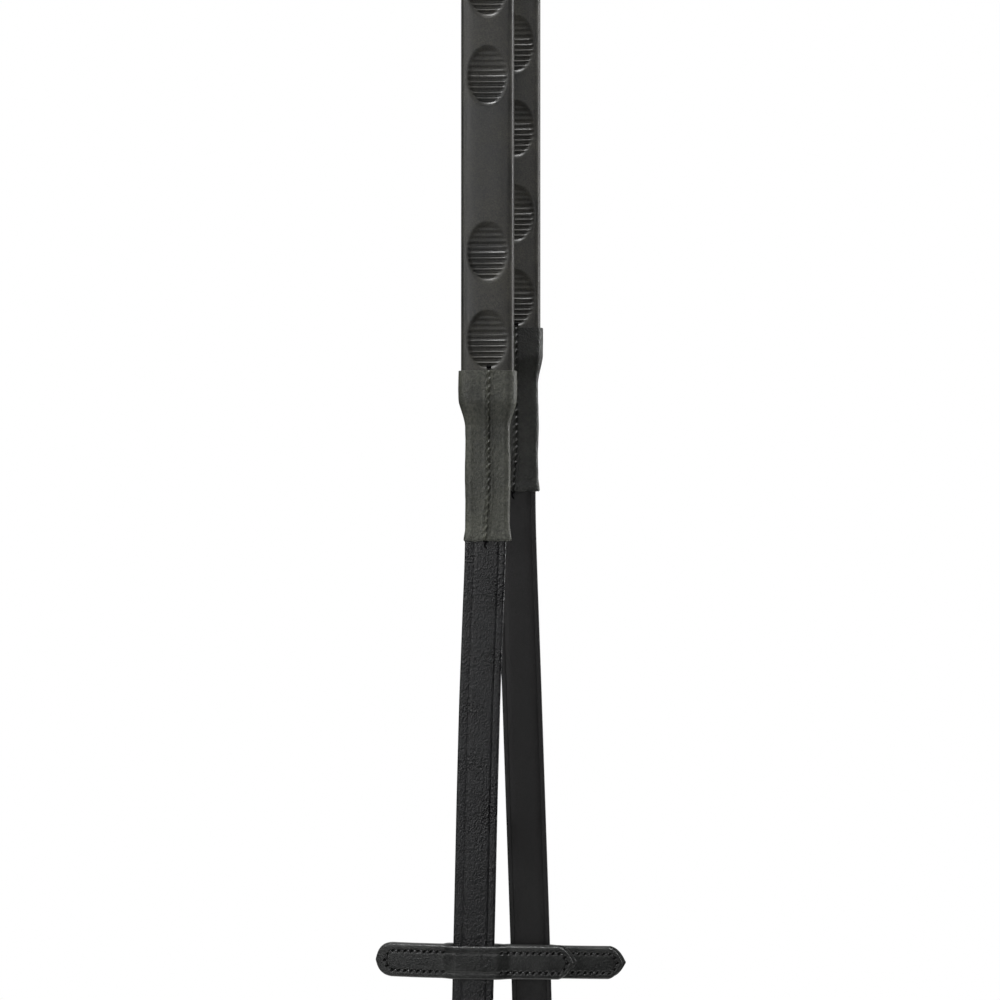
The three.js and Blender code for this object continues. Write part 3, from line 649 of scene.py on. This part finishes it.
# ---- Webbing cores ----
# Nylon webbing runs through each grip, with the strap ends sewn to it inside the sleeves. It is a plain weave
# of 1 mm threads.
webbing, tree, bsdf = new_material("woven_nylon_webbing")
place = node(tree, "ShaderNodeTexCoord").outputs["Object"]
warp = node(tree, "ShaderNodeTexWave", {"Vector": place, "Scale": 1 / (6.3 * MM)}, bands_direction="X")
weft = node(tree, "ShaderNodeTexWave", {"Vector": place, "Scale": 1 / (6.3 * MM)}, bands_direction="Z")
weave = node(tree, "ShaderNodeMath", {0: warp.outputs["Fac"], 1: weft.outputs["Fac"]}, operation="MULTIPLY")
tree.links.new(
    ramp(tree, weave.outputs["Value"], [(0.1, "#0e0e0f"), (0.9, "#2b2b2d")]), bsdf.inputs["Base Color"]
)
bump = node(tree, "ShaderNodeBump", {"Height": weave.outputs["Value"], "Distance": 0.2 * MM})
tree.links.new(bump.outputs["Normal"], bsdf.inputs["Normal"])
bsdf.inputs["Roughness"].default_value = 0.7
for name in REINS:
    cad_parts[f"{name}_core_webbing"].data.materials.clear()
    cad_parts[f"{name}_core_webbing"].data.materials.append(webbing)

# ---- Grips ----
# Hand grips moulded in black rubber round the webbing: flat, 20.4 x 8 mm, with a row of ribbed oval thumb
# dents on each face. The left grip's front is plain at one dent's place. A parting line runs down each edge.
GRIP_LENGTH = 635.0
HELD = 12.0  # length of rubber inside each sleeve
DENT_PITCH = 34.1
FIRST_DENT = 11.6
RIB_PITCH = 2.15
RIBS = 11
DENTS = 18
DENT_WIDTH = 8.15  # half sizes of a dent
DENT_HEIGHT = 11.85
DENT_DEPTH = 1.35
SLOT_DEPTH = 0.75
PLAIN_PLACE = 2  # counted up from the lower sleeve
rubber, tree, bsdf = new_material("moulded_rubber")
place = node(tree, "ShaderNodeTexCoord").outputs["Object"]
speck = node(tree, "ShaderNodeTexNoise", {"Vector": place, "Scale": 1 / (0.5 * MM), "Detail": 3.0})
# Warm pale patches, 18 mm across, in the rubber's colour and roughness: partly the rubber's own bloom, partly
# a painted highlight for the patchy sheen on the grips.
bloom_and_painted_sheen = node(
    tree, "ShaderNodeTexNoise", {"Vector": place, "Scale": 1 / (18 * MM), "Detail": 4.0, "Roughness": 0.6}
)
both = node(
    tree, "ShaderNodeMath", {0: speck.outputs["Fac"], 1: bloom_and_painted_sheen.outputs["Fac"]}, operation="MULTIPLY"
)
# The paler, warmer end of this ramp is partly painted highlight.
tree.links.new(
    ramp(tree, both.outputs["Value"], [(0.14, "#141515"), (0.4, "#37352e")]), bsdf.inputs["Base Color"]
)
dull = node(
    tree,
    "ShaderNodeMapRange",
    {"Value": bloom_and_painted_sheen.outputs["Fac"], "From Min": 0.3, "From Max": 0.7, "To Min": 0.34, "To Max": 0.52},
)
tree.links.new(dull.outputs["Result"], bsdf.inputs["Roughness"])
bump = node(
    tree, "ShaderNodeBump", {"Height": speck.outputs["Fac"], "Strength": 0.6, "Distance": 0.09 * MM}
)
tree.links.new(bump.outputs["Normal"], bsdf.inputs["Normal"])
bsdf.inputs["IOR"].default_value = 1.52

face_x = np.arange(-8.4, 8.41, 0.7)
corner_x = np.array([9.0, 9.5, 9.86, 10.08])


def grip_face(x):
    """Half thickness of the rubber across its width: flat in the middle and rounded to the edges."""
    return 4.0 * (1 - (np.abs(x) / 10.2) ** 3.4) ** (1 / 3.4)


front = [(x, -grip_face(x)) for x in np.concatenate([face_x, corner_x])] + [(10.2, 0)]
front_and_right = front + [(x, grip_face(x)) for x in corner_x[::-1]]
rear = [(x, grip_face(x)) for x in face_x[::-1]]
left_edge = [(-x, grip_face(x)) for x in corner_x] + [(-10.2, 0)]
left_edge += [(-x, -grip_face(x)) for x in corner_x[::-1]]
outline = np.array(front_and_right + rear + left_edge)
# Where the rows of points lie in one rib and slot.
RIB_ROWS = (0.0, 0.15, 0.27, 0.5, 0.73, 0.85)


def dent_depth(x, dz):
    """Depth of a thumb dent: a shallow bowl with slots between its ribs."""
    reach = np.sqrt((x / DENT_WIDTH) ** 2 + (dz / DENT_HEIGHT) ** 2)
    bowl = DENT_DEPTH * np.clip(1 - reach**2, 0, 1) ** 0.75
    place_in_pitch = np.abs(((dz / RIB_PITCH) % 1) - 0.5) * 2  # 1 on a rib, 0 in a slot
    slot = 1 - np.clip((place_in_pitch - 0.46) / 0.26, 0, 1)
    inside = np.clip((0.93 - reach) / 0.09, 0, 1)
    fading = np.clip(0.8 - dz / 9, 0.25, 1)  # the slots are shallower at the top of the dent
    return bowl + SLOT_DEPTH * slot * inside * fading


for name, rein in REINS.items():
    bottom, top = rein["grip"], rein["grip"] + GRIP_LENGTH
    centres = np.arange(DENTS) * DENT_PITCH + bottom + FIRST_DENT
    heights = [bottom - HELD, bottom - 6, bottom - 1.5, top + 1.5, top + 6, top + HELD]
    for centre in centres:
        half = RIBS * RIB_PITCH / 2
        heights += [centre - half + RIB_PITCH * (i + part) for i in range(RIBS) for part in RIB_ROWS]
        heights += [
            centre - half - 0.12,
            centre + half,
            centre + half + 0.12,
            centre + half + 3.5,
            centre + half + 7,
        ]
    heights = np.array(sorted(z for z in heights if z <= top + HELD))
    x = np.tile(outline[:, 0], (len(heights), 1))
    y = np.tile(outline[:, 1], (len(heights), 1))
    z = np.tile(heights[:, None], (1, len(outline)))
    sunk = np.zeros_like(x)
    for i, centre in enumerate(centres):
        dent = dent_depth(x, z - centre)
        if name == "left" and i == PLAIN_PLACE:
            dent = np.where(y < 0, 0, dent)
        sunk = np.maximum(sunk, dent)
    y = y - np.sign(y) * np.minimum(sunk, np.abs(y) * 0.6)
    x = x * (1 + 0.012 * (np.abs(outline[:, 0]) > 10.1))  # the parting line stands proud
    rows = np.stack([x + rein["x"], y + rein["side"] * REIN_Y, z], axis=2)
    grip = rolled(f"{name}_moulded_grip", rows)
    grip.data.materials.append(rubber)
    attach(grip, f"{name}_hand_part")
    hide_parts(f"{name}_grip")

# ---- Sleeves and their lacing ----
# Thin leather wrapped wet round each end of the grip and drawn together down the front with a slanted lacing
# in waxed thread. It is wide over the rubber, narrow over the strap, and its cut mouth flares a little.
# The right rein's sleeves hang behind the left's and are given a darker copy of the same leather: painted
# shade.
sleeve_leather = dyed_leather("thin_wrapped_leather", "#282925", "#52534a", 0.48, 0.6, 0.24, 1.2)
# A darker copy of the sleeve leather: painted shade for the back rein's sleeves.
shaded_sleeve_leather = dyed_leather(
    "thin_wrapped_leather_painted_shade", "#111211", "#262723", 0.4, 0.6, 0.24, 1.2
)


def waxed_thread(name, dark, light, roughness, shine):
    """Waxed linen thread: nearly black, with a fine twist that catches the light."""
    made, tree, bsdf = new_material(name)
    place = node(tree, "ShaderNodeTexCoord").outputs["Object"]
    twist = node(
        tree,
        "ShaderNodeTexWave",
        {"Vector": place, "Scale": 1 / (1.2 * MM), "Distortion": 1.0},
        bands_direction="DIAGONAL",
    )
    tree.links.new(ramp(tree, twist.outputs["Fac"], [(0.2, dark), (0.8, light)]), bsdf.inputs["Base Color"])
    bump = node(
        tree, "ShaderNodeBump", {"Height": twist.outputs["Fac"], "Strength": 0.5, "Distance": 0.05 * MM}
    )
    tree.links.new(bump.outputs["Normal"], bsdf.inputs["Normal"])
    bsdf.inputs["Roughness"].default_value = roughness
    bsdf.inputs["Specular IOR Level"].default_value = shine
    return made


NECK = {"left": 8.75, "right": 9.5}  # half width over the strap
lacing_thread = waxed_thread("waxed_linen_thread", "#020203", "#060607", 0.65, 0.08)


def sleeve_size(distance, neck=NECK["left"]):
    """Half width, half thickness and corner of a sleeve's outside, at a distance from its wide end."""
    narrow = smooth(10.5, 22, distance)
    flare = smooth(60, 66, distance)
    wide = 11.35 - (11.35 - neck) * narrow + 0.55 * flare + 0.12 * math.sin(distance / 5)
    thick = 5.35 - 2.2 * narrow + 0.3 * flare
    return wide, thick, 4.3 - 2.3 * narrow


def seam_x(distance):
    """The seam wanders to the left near the mouth."""
    return 0.3 - 1.2 * smooth(46, 66, distance)


SEAM_STEPS = np.arange(-2.4, 2.41, 0.24)
SLANT = 0.62  # of each stitch across the seam
HALF_STITCH = 1.05
STITCH_RADIUS = 0.56
LACING = np.arange(0.9, 65.5, 3.0)  # distances of the stitches from the sleeve's wide end


def seam_relief(off, distance):
    """The butted edges: two low lips, the line where they meet and a pricked hole under each stitch."""
    rise = 0.2 * math.exp(-(((abs(off) - 1.3) / 0.6) ** 2)) - 0.6 * math.exp(-((off / 0.32) ** 2))
    along = float(np.min(np.abs(LACING - distance)))
    nearest = float(LACING[np.argmin(np.abs(LACING - distance))])
    across = off + SLANT * (distance - nearest)
    return rise - 0.9 * math.exp(-((across / 0.55) ** 4) - (along / 1.15) ** 4)


def sleeve_ring(distance, z, wall, seed, inside, neck):
    """One ring of a sleeve: the front with its seam, then the right edge, the back and the left edge."""
    wide, thick, corner = sleeve_size(distance, neck)
    wide, thick, corner = wide - wall, thick - wall, max(corner - wall, 0.6)
    flat = wide - corner
    side_steps = np.linspace(2.8, flat, 9)
    face = np.concatenate([-side_steps[::-1], SEAM_STEPS, side_steps])
    points = [(a, -thick) for a in face]
    turns = np.radians(np.linspace(-90, 90, 13)[1:-1])
    points += [
        (flat + corner * math.cos(t), (thick - corner) * math.copysign(1, t) + corner * math.sin(t))
        for t in turns
    ]
    points += [(a, thick) for a in np.linspace(flat, -flat, 14)]
    points += [
        (-flat - corner * math.cos(t), (thick - corner) * math.copysign(1, -t) - corner * math.sin(t))
        for t in turns
    ]
    ring = []
    for a, out in points:
        rise = 0
        if not inside:
            if abs(a) <= flat:  # the strap's edges show through the thin leather
                rise += seam_relief(a - seam_x(distance), distance) if out < 0 else 0
                rise += 0.3 * math.exp(-(((abs(a) - flat + 0.35) / 0.4) ** 2)) * smooth(14, 24, distance)
            rise += 0.16 * noise.noise(Vector((a / 5, out / 5 + seed, distance / 9)))
            rise += 0.07 * noise.noise(Vector((a / 1.6, out / 2 + seed, distance / 3)))
        ragged = 0.55 * noise.noise(Vector((a / 2.2, out / 2.5, seed))) * smooth(62, 66, distance)
        ragged += 0.18 * noise.noise(Vector((a / 4, out / 4, seed + 3))) * (1 - smooth(0, 3, distance))
        away = math.copysign(rise, out) if abs(a) <= flat else 0
        grow = 1 + (0 if abs(a) <= flat else rise / 9)
        ring.append((a * grow, out + away, z + ragged))
    return ring


def stitch(row, start, end, radius):
    """Adds a short thread from start to end, thick in the middle, to a row of stitches."""
    way = (end - start).normalized()
    bpy.ops.object.select_all(action="DESELECT")
    bpy.ops.mesh.primitive_uv_sphere_add(segments=8, ring_count=6, radius=1)
    made = bpy.context.object
    size = Matrix.Diagonal((radius, radius, (end - start).length / 2, 1))
    turn = way.to_track_quat("Z", "Y").to_matrix().to_4x4()
    middle = in_metres(Matrix.Translation((start + end) / 2))
    made.data.transform(middle @ Matrix.Diagonal((MM, MM, MM, 1)) @ turn @ size)
    row.append(made)


def sewn(name, stitches, thread, body, node_name):
    """Joins stitches into one row of sewing."""
    bpy.ops.object.select_all(action="DESELECT")
    for made in stitches:
        made.select_set(True)
    bpy.context.view_layer.objects.active = stitches[0]
    bpy.ops.object.join()
    row = bpy.context.object
    row.name = row.data.name = name
    bpy.ops.object.shade_smooth()
    row.data.materials.append(thread)
    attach(row, body)
    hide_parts(node_name)
    return row


for name, rein in REINS.items():
    for which, wide_z, up in (("lower", rein["grip"], -1), ("upper", rein["grip"] + GRIP_LENGTH, 1)):
        seed = 10 * (which == "upper") + 5 * (name == "right")
        middle_y = rein["side"] * REIN_Y
        neck = NECK[name]
        outer = np.concatenate([[0.06], np.arange(0.4, SLEEVE_LENGTH - 0.3, 0.42)])
        rings = [sleeve_ring(d, wide_z + up * d, 0.0, seed, False, neck) for d in outer]
        rings.append(
            sleeve_ring(SLEEVE_LENGTH, wide_z + up * (SLEEVE_LENGTH - 0.05), 0.35, seed, False, neck)
        )
        rings.append(sleeve_ring(SLEEVE_LENGTH, wide_z + up * (SLEEVE_LENGTH - 0.1), 0.7, seed, True, neck))
        within = (65, 62, 40, 25, 22, 19, 16, 13, 10.5, 5, 1)
        rings += [sleeve_ring(d, wide_z + up * d, 0.95, seed, True, neck) for d in within]
        rings.append(sleeve_ring(0, wide_z + up * 0.1, 0.8, seed, True, neck))
        rings.append(sleeve_ring(0, wide_z, 0.4, seed, False, neck))
        rings.append(rings[0])
        rows = np.array(rings) + np.array((rein["x"], middle_y, 0))
        sleeve = rolled(f"{name}_{which}_wrapped_sleeve", rows, capped=False)
        # The right rein's sleeves, behind the left's, take the darker copy: painted shade.
        sleeve.data.materials.append(sleeve_leather if name == "left" else shaded_sleeve_leather)
        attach(sleeve, f"{name}_hand_part")
        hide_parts(f"{name}_{which}_sleeve")

        lacing = []
        for d in LACING:
            ends = []
            for part in (-HALF_STITCH, HALF_STITCH):
                at = d + part
                x = rein["x"] + seam_x(at) - SLANT * part
                ends.append(Vector((x, middle_y - sleeve_size(at)[1] + 0.05, wide_z + up * at)))
            stitch(lacing, ends[0], ends[1], STITCH_RADIUS)
        # A knot and a short tail at the mouth, and a cross stitch at the wide end.
        knot = Vector((rein["x"] + seam_x(66), middle_y - sleeve_size(66)[1] + 0.3, wide_z + up * 66))
        stitch(lacing, knot + Vector((-0.7, 0, 0.3)), knot + Vector((0.9, 0.1, -0.5)), 0.6)
        tail = [knot, knot + Vector((-0.3, 0.7, up * 1.6)), knot + Vector((0.5, 0.9, up * 3.1))]
        stitch(lacing, tail[0], tail[1] + Vector((0, 0, up * 0.3)), 0.4)
        stitch(lacing, tail[1], tail[2], 0.34)
        start = Vector((rein["x"] + 0.5, middle_y - 4.2, wide_z - up * 1.5))
        stitch(lacing, start + Vector((-1.0, 0.1, 0)), start + Vector((1.0, 0.1, 0)), 0.9)
        stitch(lacing, start, start + Vector((-0.1, -0.9, up * 2.2)), 0.42)
        sewn(
            f"{name}_{which}_lacing",
            lacing,
            lacing_thread,
            f"{name}_hand_part",
            f"{name}_{which}_seam_thread",
        )

# ---- Rein stops ----
# Two pointed layers of strap leather, sewn together through both wings, with the strap passing between them.
# The stitches lie in an awl-pricked groove that runs on over the strap as a crease.
stop_leather = dyed_leather("waxed_stop_leather", "#111212", "#2b2c2b", 0.33, 0.6, 0.14)
# Paler than the lacing thread: a painted highlight for the light the stitches catch between the holes. The
# thread's gloss is real.
stop_thread = waxed_thread("polished_linen_thread_painted_glint", "#070708", "#161617", 0.3, 0.5)
HALF_STOP = 39.0
HALF_HEIGHT = 6.4
SHOULDER = 32.6
SEW_INSET = 2.6
STITCH_PITCH = 2.5
LAYER_HALF = 1.1  # half thickness
LAYER_MIDDLE = 1.25  # from the stop's middle


def curve_points(start, control, end):
    """Points on a curve that leaves start and reaches end by way of one control point."""
    t = np.linspace(0, 1, 24)[:, None]
    return (1 - t) ** 2 * np.array(start) + 2 * t * (1 - t) * np.array(control) + t**2 * np.array(end)


edge_line = curve_points((SHOULDER, HALF_HEIGHT), (36.6, 5.6), (HALF_STOP, 0.0))
worn_edge_line = curve_points((SHOULDER, HALF_HEIGHT), (38.0, 6.0), (HALF_STOP, 0.0))
sew_line = curve_points((SHOULDER - 0.4, HALF_HEIGHT - SEW_INSET), (34.6, 3.2), (HALF_STOP - 3.6, 0.0))


def stop_height(x):
    """Half the height of a layer at x: the right point is crisp, and the left one is worn round."""
    line = worn_edge_line if x < 0 else edge_line
    return float(np.interp(abs(x), line[:, 0], line[:, 1])) if abs(x) > SHOULDER else HALF_HEIGHT


def stitch_places(wing):
    """Where the thread goes through one wing: the lower row, round the point, then the upper row."""
    start = 12.6 if wing < 0 else 9.8
    low = np.array([[start, -(HALF_HEIGHT - SEW_INSET)]])
    path = np.vstack([low, sew_line * (1, -1), sew_line[-2::-1], -low * (-1, 1)])
    run = np.concatenate([[0], np.cumsum(np.linalg.norm(np.diff(path, axis=0), axis=1))])
    count = round(run[-1] / STITCH_PITCH)
    at = np.linspace(0, run[-1], count + 1)
    return np.stack([wing * np.interp(at, run, path[:, 0]), np.interp(at, run, path[:, 1])], axis=1)


holes = np.vstack([stitch_places(-1), stitch_places(1)])


def groove_distance(x, z):
    """How far a point of the face is from the sewing groove."""
    along = abs(x)
    if along <= SHOULDER - 0.4:
        return abs(abs(z) - (HALF_HEIGHT - SEW_INSET))
    return float(np.min(np.hypot(sew_line[:, 0] - along, sew_line[:, 1] - abs(z))))


def stop_relief(x, z):
    """Rise of the face: a pressed groove, a pricked hole at each stitch and a slight crown."""
    rise = 0.12 * (1 - (z / HALF_HEIGHT) ** 2)
    rise -= 0.22 * math.exp(-((groove_distance(x, z) / 0.4) ** 2))
    dx, dz = holes[:, 0] - x, holes[:, 1] - z
    slant = 0.5 * dx + dz
    span = dx - 0.5 * dz
    rise -= float(np.max(0.85 * np.exp(-((slant / 0.72) ** 4) - (span / 0.44) ** 4)))
    return rise


def set_back(x):
    """The wings are set a little back from the strap, the left one more."""
    return (3.6 if x < 0 else 0.8) * (max(abs(x) - 8, 0) / 31) ** 2


def stand_off(x):
    """How far the layer stands off for the strap between them."""
    return 1.95 * (1 - smooth(7.6, 13.6, abs(x)))


for name, rein in REINS.items():
    down = (cheek_swing(rein) - rein["stop"]) / math.cos(math.radians(rein["lean"]))
    swing = Vector((rein["x"], rein["side"] * REIN_Y, cheek_swing(rein)))
    hang = Matrix.Translation(swing) @ Matrix.Rotation(math.radians(rein["lean"]), 4, "Y")
    hang = hang @ Matrix.Translation((0, 0, -down)) @ Matrix.Rotation(math.radians(rein["askew"]), 4, "Y")
    for which, face in (("front", -1), ("back", 1)):
        rows = []
        short = 1.3 if which == "front" else 0.0  # the back layer's point shows past the front one's
        between = np.arange(-HALF_STOP + 0.25, HALF_STOP - 0.2, 0.36)
        for x in np.concatenate([[-HALF_STOP + 0.02], between, [HALF_STOP - 0.02]]):
            half = max(stop_height(x), 0.25)
            along = x - short * smooth(SHOULDER - 6, HALF_STOP, x)
            base = LAYER_MIDDLE + stand_off(x)
            ring = []
            for part in np.linspace(-1, 1, 39):
                z = part * half
                edge = half - abs(z)
                drop = 0.6 * (1 - math.sqrt(1 - max(0, 1 - edge / 0.7) ** 2))
                ring.append(
                    (along, face * (base + LAYER_HALF + stop_relief(along, z) - drop) + set_back(x), z)
                )
            for part in (0.97, 0.6, 0, -0.6, -0.97):
                inner = base - LAYER_HALF + 0.25 * (abs(part) > 0.9)
                ring.append((along, face * inner + set_back(x), part * half))
            rows.append(ring)
        layer = rolled(f"{name}_stop_{which}_layer", moved(rows, hang))
        layer.data.materials.append(stop_leather)
        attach(layer, f"{name}_stop")
        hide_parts(f"{name}_stop_{which}")
    for wing, wing_name in ((-1, "left"), (1, "right")):
        places = stitch_places(wing)
        row = []
        for (x0, z0), (x1, z1) in zip(places, places[1:]):
            for face in (-1, 1):
                out = face * (LAYER_MIDDLE + LAYER_HALF + 0.1)
                a = Vector((x0 + 0.16 * (x1 - x0), out + set_back(x0), z0 + 0.16 * (z1 - z0)))
                b = Vector((x1 - 0.16 * (x1 - x0), out + set_back(x1), z1 - 0.16 * (z1 - z0)))
                stitch(row, hang @ a, hang @ b, 0.36)
        sewn(
            f"{name}_{wing_name}_wing_stitching",
            row,
            stop_thread,
            f"{name}_stop",
            f"{name}_stop_thread_{wing_name}_wing",
        )

# ---- Studio ----
# A pale round floor well below the reins and white surroundings. Tall soft boxes stand in front on both
# sides, one each at the far front and overhead, small ones light the edges, and a weak one fills from behind.
bpy.ops.object.select_all(action="DESELECT")
bpy.ops.mesh.primitive_circle_add(vertices=96, radius=0.5, fill_type="NGON", location=(0, 0, -1.45))
floor = bpy.context.object
floor.name = "floor"
paint, tree, bsdf = new_material("matte_floor_paint")
bsdf.inputs["Base Color"].default_value = linear("#e9e9e7")
bsdf.inputs["Roughness"].default_value = 0.85
floor.data.materials.append(paint)


def soft_box(name, place, aim, size, power):
    """A rectangular area light at a place, turned to an aim; the power is in watts."""
    light = bpy.data.lights.new(name, "AREA")
    light.shape = "RECTANGLE"
    light.size, light.size_y = size
    light.energy = power
    made = bpy.data.objects.new(name, light)
    bpy.context.scene.collection.objects.link(made)
    made.location = place
    made.visible_camera = False
    made.rotation_euler = (Vector(aim) - Vector(place)).to_track_quat("-Z", "Y").to_euler()


soft_box("left_front", (-0.6, -0.95, -0.42), (0, 0, -0.42), (0.25, 1.0), 3.4)
soft_box("left_side", (-1.0, -0.45, -0.42), (0, 0, -0.42), (0.25, 1.0), 3.5)
soft_box("right_strip", (0.48, -1.05, -0.42), (0, 0, -0.42), (0.22, 1.0), 1.5)
soft_box("high_box", (0.0, -0.95, 0.25), (0, 0, -0.85), (0.9, 0.5), 0.4)
soft_box("far_box", (-0.3, -3.0, -0.55), (0, 0, -0.85), (1.6, 0.3), 10.0)
soft_box("top_box", (-0.35, -0.3, 0.8), (0, 0, -0.75), (0.4, 0.4), 34.0)
soft_box("right_kicker", (1.1, 0.4, -0.5), (0, 0, -0.7), (0.2, 1.3), 11.0)
soft_box("edge_box", (0.7, 0.08, 0.0), (0.02, 0, -1.08), (0.3, 0.3), 14.0)
soft_box("low_left", (-0.29, -0.67, -1.2), (-0.03, 0, -1.08), (0.15, 0.15), 0.2)
soft_box("back_box", (-0.4, 1.4, -0.1), (0, 0, -0.7), (1.2, 1.2), 4.0)
world = bpy.data.worlds.new("studio")
bpy.context.scene.world = world
world.use_nodes = True
tree = world.node_tree
tree.nodes.clear()
seen = node(tree, "ShaderNodeBackground", {"Color": (1, 1, 1, 1), "Strength": 1.0})
lit = node(tree, "ShaderNodeBackground", {"Color": (1, 1, 1, 1), "Strength": 0.03})
rays = node(tree, "ShaderNodeLightPath")
mix = node(
    tree,
    "ShaderNodeMixShader",
    {0: rays.outputs["Is Camera Ray"], 1: lit.outputs["Background"], 2: seen.outputs["Background"]},
)
node(tree, "ShaderNodeOutputWorld", {"Surface": mix.outputs["Shader"]})
bpy.context.scene.view_settings.view_transform = "Standard"
